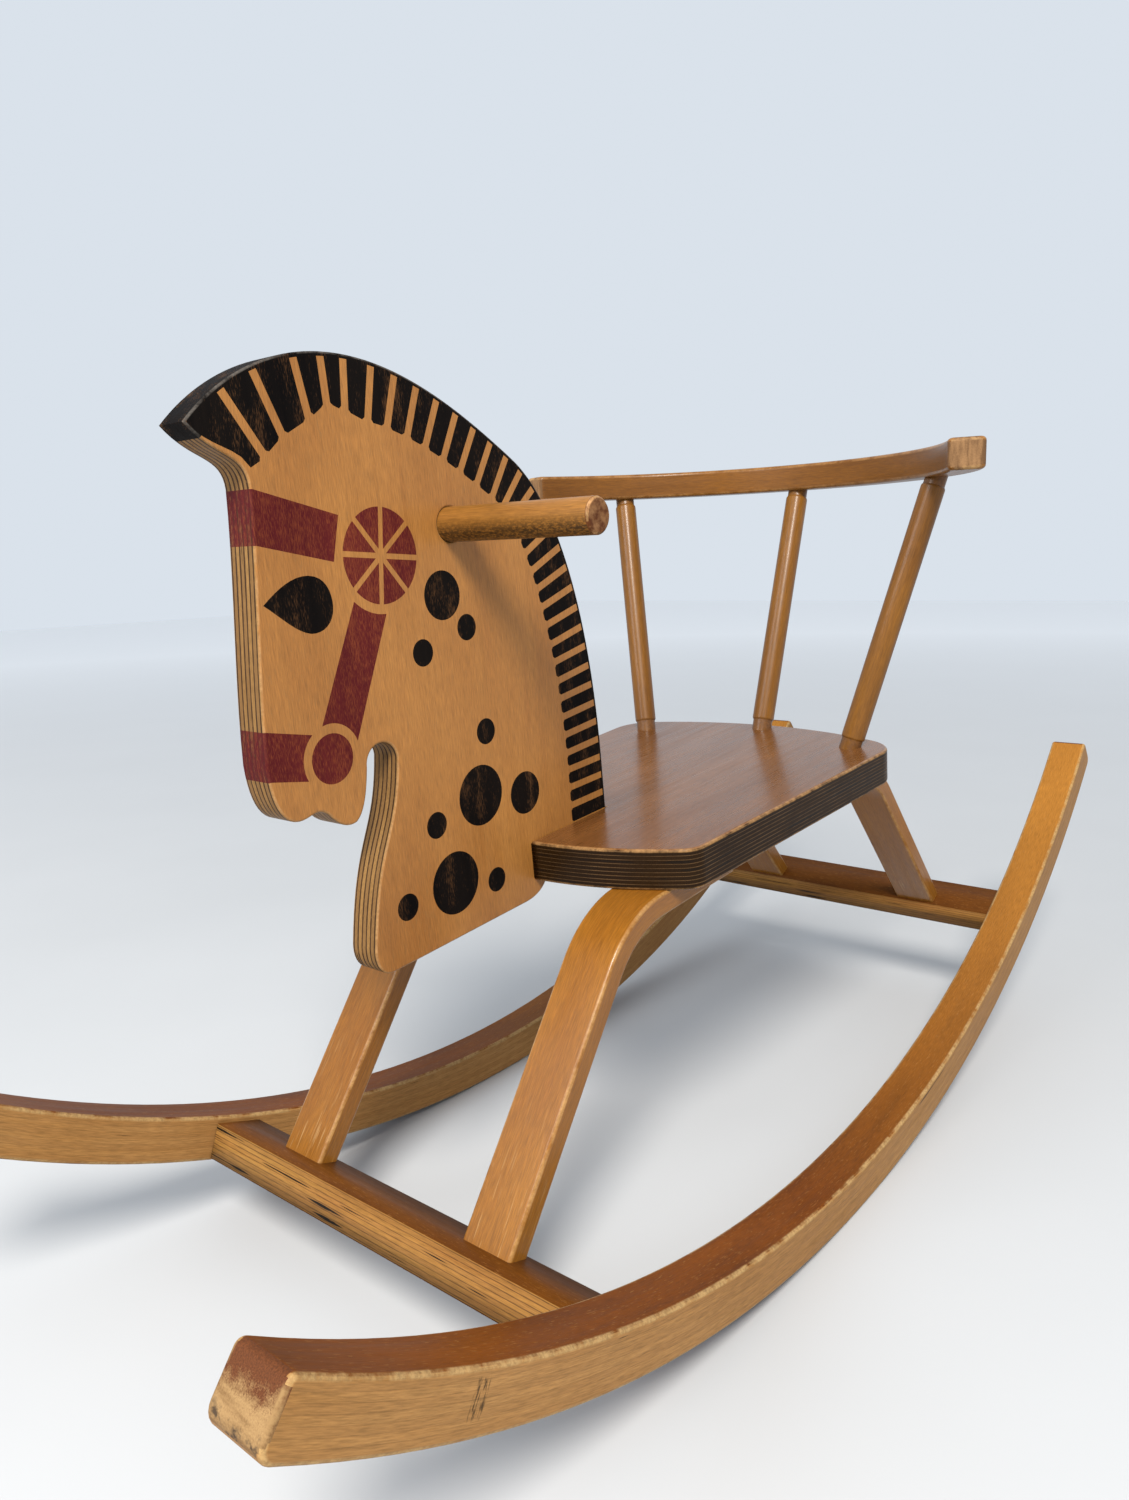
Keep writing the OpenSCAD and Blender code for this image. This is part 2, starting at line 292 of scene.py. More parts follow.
def mark_ends(bm, layer):
    """Gives the second material to the faces that cut across the grain at the ends."""
    along = [v[layer].x for v in bm.verts]
    low, high = min(along) + END_DEPTH * MM, max(along) - END_DEPTH * MM
    for f in bm.faces:
        marks = [v[layer] for v in f.verts]
        if low < sum(m.x for m in marks) / len(marks) < high:
            continue
        spans = [max(m[i] for m in marks) - min(m[i] for m in marks) for i in range(3)]
        if spans[0] < END_STEEPNESS * max(spans[1], spans[2]):
            f.material_index = 1


def piece(name, solid, node, materials, grain, place=None):
    """Makes the solid a piece that stands for a CAD node. grain gives, for a point
    on the bench, its distances along the grain, across it and into the thickness.
    Where there are two materials, the second is for the end grain."""
    bm = solid.bm
    if place:
        bm.transform(place)
    layer = bm.verts.layers.float_vector.new("grain")
    for v in bm.verts:
        v[layer] = Vector(grain(v.co)) * MM
    if len(materials) == 2:
        mark_ends(bm, layer)
    bm.transform(BENCH @ Matrix.Diagonal((MM, MM, MM, 1)))
    bmesh.ops.recalc_face_normals(bm, faces=bm.faces)
    mesh = bpy.data.meshes.new(name)
    bm.to_mesh(mesh)
    bm.free()
    for material in materials:
        mesh.materials.append(material)
    made = bpy.data.objects.new(name, mesh)
    bpy.context.scene.collection.objects.link(made)
    made.modifiers.new("normals", "WEIGHTED_NORMAL").keep_sharp = True
    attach(made, "root")
    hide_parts(node)


# ---- Materials ----

class Shader:
    """A material's node tree, with short calls that add nodes."""

    def __init__(self, name):
        self.material = bpy.data.materials.new(name)
        self.material.use_nodes = True
        self.tree = self.material.node_tree
        self.surface = self.tree.nodes["Principled BSDF"]

    def put(self, socket, value):
        if isinstance(value, bpy.types.NodeSocket):
            self.tree.links.new(value, socket)
        else:
            socket.default_value = value

    def node(self, kind, inputs=(), **settings):
        made = self.tree.nodes.new("ShaderNode" + kind)
        for key, value in settings.items():
            setattr(made, key, value)
        for key, value in dict(inputs).items():
            self.put(made.inputs[key], value)
        return made

    def math(self, operation, a, b=0.0):
        return self.node("Math", {0: a, 1: b}, operation=operation).outputs[0]

    def plus(self, a, b):
        return self.math("ADD", a, b)

    def minus(self, a, b):
        return self.math("SUBTRACT", a, b)

    def times(self, a, b):
        return self.math("MULTIPLY", a, b)

    def mix(self, factor, a, b, blend="MIX"):
        made = self.node("Mix", data_type="RGBA", blend_type=blend)
        self.put(made.inputs[0], factor)
        self.put(made.inputs[6], a)
        self.put(made.inputs[7], b)
        return made.outputs[2]

    def attribute(self, name):
        return self.node("Attribute", attribute_name=name)

    def stretched(self, vector, scale):
        return self.node("VectorMath", {0: vector, 1: scale}, operation="MULTIPLY").outputs[0]

    def noise(self, vector, scale, detail=3.0, rough=0.55):
        """Noise over the grain, with a scale in features a metre for each direction."""
        at = self.stretched(vector, scale)
        return self.node("TexNoise", {"Vector": at, "Scale": 1.0, "Detail": detail,
                                      "Roughness": rough}).outputs["Fac"]

    def ramp(self, value, low, high, to_low=0.0, to_high=1.0):
        made = self.node("MapRange", {"Value": value, "From Min": low, "From Max": high,
                                      "To Min": to_low, "To Max": to_high})
        return made.outputs["Result"]


def rgb(r, g, b):
    return (r, g, b, 1.0)


def shade(colour, k):
    """The colour, k times as bright."""
    return rgb(*[c * k for c in colour[:3]])


PALE = rgb(0.46, 0.29, 0.12)
STREAK = rgb(0.5, 0.41, 0.3)
# Dark specks on the handle's underside: partly grime, partly painted shade
UNDERSIDE_SHADE_AND_GRIME = rgb(0.03, 0.016, 0.006)
SCUFF = rgb(0.03, 0.02, 0.015)
NEAR_BLACK = rgb(0.015, 0.008, 0.004)
VOID_BLACK = rgb(0.012, 0.007, 0.004)


class Wood(Shader):
    """Lacquered wood whose grain follows the piece, in two tones. Each method lays
    one more feature over the colour so far."""

    def __init__(self, name, light, dark):
        super().__init__(name)
        self.grain = self.attribute("grain").outputs["Vector"]
        self.along, self.across, self.depth = self.node("SeparateXYZ", {0: self.grain}).outputs
        self.dark = dark
        self.veneer = None
        cloud = self.noise(self.grain, (7, 26, 26), 2.0)
        self.figure = self.noise(self.grain, (9, 190, 190), 5.0, 0.62)
        self.fibre = self.noise(self.grain, (110, 1900, 1900), 3.0, 0.6)
        tone = self.plus(self.times(cloud, 0.55), self.times(self.figure, 0.45))
        self.tone = self.ramp(tone, 0.34, 0.66)
        self.colour = self.mix(self.tone, dark, light)
        self.height = self.plus(self.times(self.fibre, 0.5), self.times(self.figure, 0.5))

    def cover(self, factor, colour, blend="MIX"):
        self.colour = self.mix(factor, self.colour, colour, blend)

    def add_plies(self, of, count, contrast, dark, line, width, glue, voids):
        """Layers through a thickness: every second one darker, with lines of glue
        between them and a few gaps in the inner ones."""
        layer = self.plus(self.math("DIVIDE", self.depth, of * MM), 0.5)
        layer = self.plus(self.times(layer, count - 1.0), 0.5)
        number = self.math("FLOOR", layer)
        from_middle = self.math("ABSOLUTE", self.minus(self.math("FRACT", layer), 0.5))
        crossing = self.math("FLOORED_MODULO", number, 2.0)
        ends = self.times(crossing, self.ramp(self.fibre, 0.3, 0.7, 0.5, 1.0))
        self.cover(self.times(ends, contrast), dark)
        waver = self.ramp(self.noise(self.grain, (40, 40, 40), 2.0), 0.3, 0.7, -0.04, 0.04)
        seam = self.ramp(self.plus(from_middle, waver), 0.42 - width, 0.49 - width)
        self.cover(self.times(seam, line), glue)
        at = self.node("CombineXYZ", {0: self.times(self.along, 20.0),
                                      1: self.times(self.across, 42.0),
                                      2: self.times(number, 7.3)}).outputs[0]
        gap = self.node("TexNoise", {"Vector": at, "Scale": 1.0, "Detail": 1.0}).outputs["Fac"]
        lens = self.minus(gap, self.times(from_middle, 0.5))
        void = self.times(self.ramp(lens, voids, voids + 0.02), crossing)
        self.cover(void, VOID_BLACK)
        dip = self.plus(self.times(void, 1.5), self.times(seam, 0.3))
        self.height = self.minus(self.height, dip)

    def add_veneer(self, of, light, dark, painted_light_rear=None):
        """A skin of its own tones on both faces. A third tone, where given, is painted light that
        makes the skin lighter towards the rear.
        """
        share = self.math("ABSOLUTE", self.math("DIVIDE", self.depth, of * MM))
        self.veneer = self.ramp(share, 0.47, 0.48)
        skin = self.mix(self.tone, dark, light)
        if painted_light_rear:
            uneven = self.ramp(self.tone, 0.0, 1.0, 0.7, 1.0)
            # Painted light: the skin turns lighter towards the rear, where more light falls on it
            skin = self.mix(self.times(self.ramp(self.along, 0.12, -0.42), uneven), skin, painted_light_rear)
        self.cover(self.veneer, skin)

    def add_figure(self, streak):
        """Dark streaks, fine fibres and pores."""
        self.cover(self.times(self.ramp(self.figure, 0.5, 0.68), streak), STREAK, "MULTIPLY")
        fine = self.ramp(self.fibre, 0.32, 0.68, 0.63, 1.02)
        grey = self.node("CombineColor", {0: fine, 1: fine, 2: fine}).outputs[0]
        self.cover(1.0, grey, "MULTIPLY")
        pore = self.math("LESS_THAN", self.noise(self.grain, (170, 1300, 1300), 1.0), 0.32)
        self.cover(self.times(pore, 0.4), self.dark)

    def add_stain(self, colour, light, cover, bare, patches):
        """A stain that leaves flecks of wood bare, more of them in some patches."""
        fleck = self.noise(self.grain, (260, 2000, 2000), 3.0, 0.6)
        patch = self.noise(self.grain, (30, 130, 130), 2.0)
        shown = self.plus(fleck, self.times(self.minus(patch, 0.5), patches))
        shown = self.times(self.ramp(shown, cover, cover + 0.12), bare)
        self.colour = self.mix(shown, self.mix(self.tone, colour, light), self.colour)

    def add_underside_shade_and_grime(self, amount):
        """Dark specks on the underside, partly grime and partly painted shade."""
        under = self.ramp(self.depth, 0.004, -0.005)
        speck = self.ramp(self.noise(self.grain, (420, 700, 700), 4.0, 0.7), 0.36, 0.55)
        self.cover(self.times(under, self.times(speck, amount)), UNDERSIDE_SHADE_AND_GRIME)

    def add_scrapes(self, start, full):
        """Pale scrapes that begin at one distance along the grain, in millimetres,
        and are at their strongest at another."""
        low = self.ramp(self.along, start * MM, full * MM)
        scrape = self.ramp(self.noise(self.grain, (38, 620, 620), 3.0, 0.6), 0.61, 0.68)
        self.cover(self.times(self.times(low, scrape), 0.4), PALE)

    def add_mark(self, along, depth):
        """A few dark dashes across the grain, at one place given in millimetres."""
        off_along = self.math("ABSOLUTE", self.minus(self.along, along * MM))
        off_depth = self.math("ABSOLUTE", self.minus(self.depth, depth * MM))
        near = self.times(self.ramp(off_along, 0.005, 0.004), self.ramp(off_depth, 0.009, 0.007))
        ink = self.ramp(self.noise(self.grain, (1100, 100, 190), 2.0), 0.48, 0.62)
        self.cover(self.times(self.times(near, ink), 0.8), NEAR_BLACK)

    def wear_edges(self, worn, amount):
        """Scuffs the edges that the wear attribute marks, down to a dusty tone. On the spindles,
        whose worn tone is dark, this is partly painted shade at their ends.
        """
        scuff = self.ramp(self.noise(self.grain, (75, 75, 75), 4.0, 0.7), 0.36, 0.56)
        dust = self.ramp(self.noise(self.grain, (500, 500, 500), 3.0, 0.7), 0.35, 0.6)
        edge = self.times(self.attribute("wear").outputs["Fac"], self.times(scuff, amount))
        self.cover(edge, self.mix(dust, shade(worn, 0.6), worn))

    def coat(self, rough, coat, shine):
        """Lacquer of a roughness, coat weight and specular level. Where there is a
        veneer, the coat is on it alone."""
        inputs = self.surface.inputs
        self.put(inputs["Base Color"], self.colour)
        self.put(inputs["Roughness"], self.ramp(self.figure, 0.3, 0.7, rough - 0.06, rough + 0.1))
        inputs["Coat Roughness"].default_value = 0.16
        if self.veneer and coat:
            self.put(inputs["Coat Weight"], self.times(self.veneer, coat))
            self.put(inputs["Specular IOR Level"], self.ramp(self.veneer, 0.0, 1.0, 0.08, shine))
        else:
            inputs["Coat Weight"].default_value = coat
            inputs["Specular IOR Level"].default_value = shine
        bump = self.node("Bump", {"Strength": 0.25, "Distance": 0.0004, "Height": self.height})
        self.put(inputs["Normal"], bump.outputs["Normal"])


def wood(name, light, dark, streak, finish, ply=None, face=None, stain=None, underside_shade_and_grime=None,
         scraped=None, mark=None, worn=None, wear=0.5):
    """A wood with the features that are given, laid on in the order of their age."""
    s = Wood(name, light, dark)
    if ply:
        s.add_plies(**ply)
    if face:
        s.add_veneer(ply["of"], *face)
    s.add_figure(streak)
    if stain:
        s.add_stain(**stain)
    if underside_shade_and_grime:
        s.add_underside_shade_and_grime(underside_shade_and_grime)
    if scraped:
        s.add_scrapes(*scraped)
    if mark:
        s.add_mark(*mark)
    if worn:
        s.wear_edges(worn, wear)
    s.coat(*finish)
    return s.material


def end_grain(name, light, dark, rim, top=None, scuff_at=None):
    """The cut end of a bar: speckled pores and faint rings, with a worn rim. top is
    a tone that covers its upper part. scuff_at is how far down, in metres from the
    middle, dark scuffs are at their strongest."""
    s = Shader(name)
    grain = s.attribute("grain").outputs["Vector"]
    depth = s.node("SeparateXYZ", {0: grain}).outputs[2]
    speck = s.noise(grain, (1500, 1500, 1500), 4.0, 0.7)
    rings = s.node("TexWave", {"Vector": s.stretched(grain, (40, 60, 330)), "Scale": 1.0,
                               "Distortion": 3.0, "Detail": 2.0}).outputs["Fac"]
    tone = s.plus(s.times(speck, 0.6), s.times(rings, 0.3))
    colour = s.mix(s.ramp(tone, 0.3, 0.65), dark, light)
    blotch = s.noise(grain, (130, 130, 130), 4.0, 0.65)
    if top:
        border = s.plus(depth, s.ramp(blotch, 0.3, 0.7, -0.005, 0.005))
        border = s.plus(border, s.ramp(speck, 0.3, 0.7, -0.003, 0.003))
        stained = s.mix(s.ramp(speck, 0.35, 0.65), shade(top, 0.5), top)
        colour = s.mix(s.ramp(border, 0.002, -0.007), colour, stained)
    if scuff_at:
        dirt = s.times(s.ramp(depth, scuff_at * 0.5, scuff_at), s.ramp(blotch, 0.5, 0.6))
        colour = s.mix(s.times(dirt, 0.85), colour, SCUFF)
    edge = s.times(s.attribute("wear").outputs["Fac"], s.ramp(blotch, 0.4, 0.6))
    colour = s.mix(edge, colour, rim)
    s.put(s.surface.inputs["Base Color"], colour)
    s.put(s.surface.inputs["Roughness"], s.ramp(speck, 0.3, 0.7, 0.5, 0.7))
    s.surface.inputs["Specular IOR Level"].default_value = 0.12
    bump = s.node("Bump", {"Strength": 0.35, "Distance": 0.0003, "Height": speck})
    s.put(s.surface.inputs["Normal"], bump.outputs["Normal"])
    return s.material


# Finishes are (roughness, coat weight, specular level)
WORN_LACQUER = (0.44, 0.0, 0.08)

head_ply = {"of": HEAD_T, "count": 7, "contrast": 0.6, "dark": rgb(0.16, 0.08, 0.03),
            "line": 0.95, "width": 0.12, "glue": rgb(0.04, 0.018, 0.008), "voids": 0.7}
seat_ply = {"of": SEAT_T, "count": 11, "contrast": 0.5, "dark": rgb(0.014, 0.007, 0.003),
            "line": 0.85, "width": 0.02, "glue": rgb(0.13, 0.072, 0.03), "voids": 0.56}
rocker_ply = {"of": ROCKER_H, "count": 9, "contrast": 0.25, "dark": rgb(0.24, 0.11, 0.035),
              "line": 0.3, "width": 0.0, "glue": rgb(0.17, 0.08, 0.025), "voids": 0.72}
crossbar_ply = {"of": CROSSBAR_T, "count": 9, "contrast": 0.4, "dark": rgb(0.26, 0.115, 0.035),
                "line": 0.8, "width": 0.03, "glue": rgb(0.09, 0.04, 0.015), "voids": 0.57}
leg_ply = {"of": LEG_T, "count": 7, "contrast": 0.22, "dark": rgb(0.24, 0.10, 0.025),
           "line": 0.35, "width": 0.0, "glue": rgb(0.12, 0.05, 0.015), "voids": 0.8}

head_wood = wood("head_plain", rgb(0.33, 0.18, 0.06), rgb(0.22, 0.11, 0.033), 0.35,
                 (0.42, 0.1, 0.3), head_ply,
                 face=(rgb(0.44, 0.19, 0.042), rgb(0.30, 0.115, 0.022)),
                 worn=rgb(0.42, 0.24, 0.1))
head_black = wood("head_black", rgb(0.09, 0.042, 0.017), rgb(0.05, 0.022, 0.009), 0.3,
                  (0.6, 0.0, 0.05), head_ply,
                  stain={"colour": rgb(0.0015, 0.001, 0.001), "light": rgb(0.006, 0.004, 0.003),
                         "cover": 0.58, "bare": 0.9, "patches": 0.7},
                  worn=rgb(0.16, 0.14, 0.12))
head_red = wood("head_red", rgb(0.22, 0.05, 0.02), rgb(0.13, 0.025, 0.011), 0.3,
                (0.55, 0.0, 0.08), head_ply,
                stain={"colour": rgb(0.05, 0.004, 0.006), "light": rgb(0.09, 0.01, 0.01),
                       "cover": 0.47, "bare": 0.85, "patches": 0.3},
                worn=rgb(0.13, 0.03, 0.02))
seat_wood = wood("seat_brown", rgb(0.026, 0.012, 0.0035), rgb(0.016, 0.007, 0.002), 0.3,
                 (0.27, 0.3, 0.3), seat_ply,
                 face=(rgb(0.205, 0.078, 0.019), rgb(0.12, 0.042, 0.009)),
                 worn=rgb(0.36, 0.19, 0.07), wear=0.75)


# The third face tone is painted light on the rear of the rockers' faces
def rocker_beech(name, mark=None):
    return wood(name, rgb(0.42, 0.22, 0.075), rgb(0.33, 0.155, 0.043), 0.15,
                WORN_LACQUER, rocker_ply,
                face=(rgb(0.22, 0.06, 0.005), rgb(0.11, 0.028, 0.002), rgb(0.46, 0.19, 0.03)),
                mark=mark, worn=PALE, wear=0.8)


rocker_wood = rocker_beech("rocker_beech")
rocker_marked = rocker_beech("rocker_beech_marked", mark=(466, -2))
rocker_end = end_grain("rocker_end", rgb(0.33, 0.2, 0.085), rgb(0.17, 0.09, 0.034),
                       rgb(0.27, 0.16, 0.065), top=rgb(0.14, 0.045, 0.015), scuff_at=0.008)
crossbar_wood = wood("crossbar_ply", rgb(0.39, 0.2, 0.05), rgb(0.28, 0.12, 0.03), 0.35,
                     WORN_LACQUER, crossbar_ply,
                     face=(rgb(0.16, 0.052, 0.006), rgb(0.09, 0.026, 0.003)), worn=PALE)
leg_wood = wood("leg_birch", rgb(0.34, 0.135, 0.014), rgb(0.23, 0.08, 0.007), 0.35,
                (0.34, 0.2, 0.3), leg_ply, scraped=(-70, -150), worn=rgb(0.52, 0.30, 0.11))
# The handle's underside gets dark specks that are partly grime and partly painted shade
handle_wood = wood("handle_beech", rgb(0.39, 0.17, 0.033), rgb(0.22, 0.09, 0.015), 0.45,
                   (0.42, 0.1, 0.2), underside_shade_and_grime=0.9, worn=rgb(0.45, 0.28, 0.13))
handle_end = end_grain("handle_end", rgb(0.145, 0.05, 0.012), rgb(0.07, 0.02, 0.005),
                       rgb(0.42, 0.22, 0.09))
# The dark worn tone at the spindles' tenon ends is partly bare wood and partly painted shade where
# they meet the seat and the rail
spindle_wood = wood("spindle_beech", rgb(0.24, 0.095, 0.008), rgb(0.14, 0.05, 0.004), 0.5,
                    (0.36, 0.15, 0.25), worn=rgb(0.15, 0.062, 0.018), wear=1.0)
rail_wood = wood("rail_beech", rgb(0.22, 0.08, 0.005), rgb(0.12, 0.04, 0.0025), 0.5,
                 (0.35, 0.15, 0.25), worn=rgb(0.38, 0.19, 0.06))
rail_end = end_grain("rail_end", rgb(0.26, 0.14, 0.06), rgb(0.12, 0.06, 0.025),
                     rgb(0.38, 0.22, 0.09))
dowel_wood = wood("dowel_beech", rgb(0.66, 0.46, 0.26), rgb(0.5, 0.32, 0.16), 0.3,
                  (0.6, 0.0, 0.3))


def steel():
    s = Shader("screw_steel")
    at = s.node("TexCoord").outputs["Object"]
    brushed = s.noise(at, (900, 900, 900), 3.0)
    s.put(s.surface.inputs["Base Color"], s.mix(brushed, rgb(0.45, 0.45, 0.46), rgb(0.7, 0.7, 0.72)))
    s.put(s.surface.inputs["Roughness"], s.ramp(brushed, 0.3, 0.7, 0.28, 0.45))
    s.surface.inputs["Metallic"].default_value = 1.0
    bump = s.node("Bump", {"Strength": 0.2, "Distance": 0.0002, "Height": brushed})
    s.put(s.surface.inputs["Normal"], bump.outputs["Normal"])
    return s.material


screw_steel = steel()


# ---- Rockers ----

def on_arc(r, phi):
    return r * Vector((math.sin(math.radians(phi)), -math.cos(math.radians(phi))))


def along_arc(phi):
    return Vector((math.cos(math.radians(phi)), math.sin(math.radians(phi))))


CORNER_TRIM = 1.3


def bent_end(centre, r_in, r_out, phi, side, tip_r, heel_r):
    """The rounded end of a bent bar, from its inner face to its outer face."""
    def place(r, back):
        return Vector(centre) + on_arc(r, phi) - side * back * along_arc(phi)
    tip = [place(r_in + tip_r * (1 - math.cos(math.radians(a))),
                 tip_r * (1 - math.sin(math.radians(a)))) for a in range(0, 91, 15)]
    heel = [place(r_out - heel_r * (1 - math.cos(math.radians(a))),
                  heel_r * (1 - math.sin(math.radians(a)))) for a in range(90, -1, -15)]
    return tip + heel


def bent_bar(centre, r_in, r_out, start, finish, tip_r, heel_r, n):
    """Outline of a bar bent to an arc, with rounded corners, lowest at phi = 0. The
    long faces stop short of the corners, by a little more than their radius."""
    def face(r, phi_a, phi_b):
        return [Vector(centre) + on_arc(r, phi_a + (phi_b - phi_a) * i / n) for i in range(n + 1)]
    trim_in = math.degrees(tip_r / r_in) * CORNER_TRIM
    trim_out = math.degrees(heel_r / r_out) * CORNER_TRIM
    front = bent_end(centre, r_in, r_out, finish, FRONT, tip_r, heel_r)
    rear = bent_end(centre, r_in, r_out, start, REAR, tip_r, heel_r)
    return (face(r_in, start + trim_in, finish - trim_in) + front
            + face(r_out, finish - trim_out, start + trim_out) + rear[::-1])


def bent_grain(centre, r_mid):
    """Grain that follows a bar bent about a centre in the x-z plane."""
    def grain(p):
        flat = Vector((p.x, p.z)) - Vector(centre)
        return (math.atan2(flat.x, -flat.y) * r_mid, p.y, flat.length - r_mid)
    return grain


ROCKER_MID_R = ROCKER_R - ROCKER_H / 2
ROCKER_EDGE_R = 2.6
for side, name, beech in ((LEFT, "left", rocker_marked), (RIGHT, "right", rocker_wood)):
    outline = bent_bar(ROCKER_CENTRE, ROCKER_R - ROCKER_H, ROCKER_R, -ROCKER_REAR, ROCKER_FRONT,
                       ROCKER_TIP_R, ROCKER_HEEL_R, 72)
    bar = slab(outline, ROCKER_W, ROCKER_EDGE_R)
    piece(name + "_rocker_bar", bar, name + "_rocker", [beech, rocker_end],
          bent_grain(ROCKER_CENTRE, ROCKER_MID_R), Matrix.Translation((0, side * ROCKER_Y, 0)))


# ---- Crossbars ----

CROSSBAR_EDGE_R = 1.4


def crossbar(end, name):
    phi = CROSSBAR_PHI[end]
    out = on_arc(1, phi)
    along = along_arc(phi)
    top = ROCKER_CENTRE + on_arc(CROSSBAR_TOP_R, phi)
    half_w = CROSSBAR_W / 2
    section = [top - along * half_w, top + along * half_w,
               top + along * half_w + out * CROSSBAR_T, top - along * half_w + out * CROSSBAR_T]
    middle = top + out * CROSSBAR_T / 2

    def grain(p):
        flat = Vector((p.x, p.z)) - middle
        return (p.y, flat.dot(along), flat.dot(out))
    piece(name + "_crossbar_board", slab(section, CROSSBAR_L, CROSSBAR_EDGE_R),
          name + "_crossbar", [crossbar_wood], grain)


crossbar(FRONT, "front")
crossbar(REAR, "rear")


# ---- Legs ----

def foot(end):
    """Where the middle of a leg meets the top of its crossbar."""
    phi = CROSSBAR_PHI[end]
    return ROCKER_CENTRE + on_arc(CROSSBAR_TOP_R, phi) - end * FOOT_OFFSET * along_arc(phi)


def leg_up(end):
    slope = math.radians(LEG_SLOPE[end])
    return Vector((-end * math.cos(slope), math.sin(slope)))


def leg_out(end):
    slope = math.radians(LEG_SLOPE[end])
    return Vector((end * math.sin(slope), math.cos(slope)))


def bend_centre(end):
    """Centre of a leg's bend, which ends flat against the seat's underside."""
    n = leg_out(end)
    face = foot(end).dot(n) + LEG_T / 2
    z = SEAT_BOTTOM - LEG_BEND_R
    return Vector(((face - LEG_BEND_R - z * n.y) / n.x, z))


def leg_outline(end):
    c = bend_centre(end)
    n = leg_out(end)
    toe = foot(end) - FOOT_DEPTH * leg_up(end)
    heel = c.x - end * LEG_RUN
    tilt = 90 - end * (90 - math.degrees(math.atan2(n.y, end * n.x)))
    return ([toe - n * LEG_T / 2, toe + n * LEG_T / 2]
            + arc(c, LEG_BEND_R, tilt, 90, 14)
            + [Vector((heel, SEAT_BOTTOM)), Vector((heel, SEAT_BOTTOM - LEG_T))]
            + arc(c, LEG_BEND_R - LEG_T, 90, tilt, 14))


def leg_grain(end):
    """Grain that runs up the leg, round its bend and along under the seat."""
    c = bend_centre(end)
    n = leg_out(end)
    up = leg_up(end)
    r_mid = LEG_BEND_R - LEG_T / 2
    sweep = math.radians(90) - math.atan2(n.y, end * n.x)

    def grain(p):
        flat = Vector((p.x, p.z)) - c
        height = flat.dot(up)
        if height < 0:
            return (height, p.y, flat.dot(n) - r_mid)
        if -end * flat.x > 0:
            return (sweep * r_mid - end * flat.x, p.y, flat.y - r_mid)
        turn = math.atan2(height, flat.dot(n))
        return (turn * r_mid, p.y, flat.length - r_mid)
    return grain


LEG_EDGE_R = 2.2
for end, end_name in ((FRONT, "front"), (REAR, "rear")):
    for side, side_name in ((LEFT, "left"), (RIGHT, "right")):
        name = end_name + "_" + side_name
        piece(name + "_bent_leg", slab(leg_outline(end), LEG_W, LEG_EDGE_R), name + "_leg",
              [leg_wood], leg_grain(end), Matrix.Translation((0, side * LEG_Y, 0)))


# ---- Seat ----

def corner_centre(end, end_x, end_r, r):
    """Centre of a seat corner that touches its flared side and its bowed end."""
    c = end_x - end * end_r
    n = Vector((math.sin(math.radians(SEAT_FLARE)), math.cos(math.radians(SEAT_FLARE))))
    u = end * Vector((n.y, -n.x))
    p = Vector((0, SEAT_HALF)) - r * n - Vector((c, 0))
    b = p.dot(u)
    t = -b + math.sqrt(b * b - p.dot(p) + (end_r - r) ** 2)
    return p + t * u + Vector((c, 0))


def seat_outline():
    front_r, rear_r = SEAT_CORNER_R[FRONT], SEAT_CORNER_R[REAR]
    f = corner_centre(FRONT, SEAT_FRONT, SEAT_FRONT_R, front_r)
    b = corner_centre(REAR, -SEAT_BACK, SEAT_BACK_R, rear_r)
    f_x = SEAT_FRONT - SEAT_FRONT_R
    b_x = SEAT_BACK_R - SEAT_BACK
    f_turn = math.degrees(math.atan2(f.y, f.x - f_x))
    b_turn = math.degrees(math.atan2(b.y, b.x - b_x))
    slot = HEAD_T / 2
    slot_turn = math.degrees(math.asin(slot / SEAT_FRONT_R))
    half = [Vector((NECK_BACK, slot))]
    half += arc((f_x, 0), SEAT_FRONT_R, slot_turn, f_turn, 16)
    half += arc(f, front_r, f_turn, 90 - SEAT_FLARE, 8)
    half += arc(b, rear_r, 90 - SEAT_FLARE, b_turn, 12)
    half += arc((b_x, 0), SEAT_BACK_R, b_turn, 180, 16)
    return half + [Vector((p.x, -p.y)) for p in half[-2::-1]]


# A slab is drawn upright: this lays it flat, its drawing's z becoming the bench's y
LAID_FLAT = Matrix(((1, 0, 0, 0), (0, 0, 1, 0), (0, -1, 0, 0), (0, 0, 0, 1)))
SEAT_MID = SEAT_TOP - SEAT_T / 2
SEAT_EDGE_R = 2.2
piece("seat_board", slab(seat_outline(), SEAT_T, SEAT_EDGE_R), "seat", [seat_wood],
      lambda p: (p.x, p.y, p.z - SEAT_MID), Matrix.Translation((0, 0, SEAT_MID)) @ LAID_FLAT)


# ---- Head ----

def forelock_underside():
    tip = CROWN + polar(FORELOCK_ANGLE, CROWN_R)
    return curve(tip, (375, 526), (359.5, 530), (359.5, 513), 16)


def neck_and_crown():
    """The back of the neck and the crown, which the mane follows."""
    return ([Vector((NECK_BACK, SEAT_TOP)), Vector((NECK_BACK, 307))]
            + curve((104.5, 307), (104.5, 420), (131.5, 493.5), (170, 520), 30)
            + curve((170, 520), (211, 548.5), (257, 576.5), (307, 576.5), 24)
            + arc(CROWN, CROWN_R, 88, FORELOCK_ANGLE, 20))


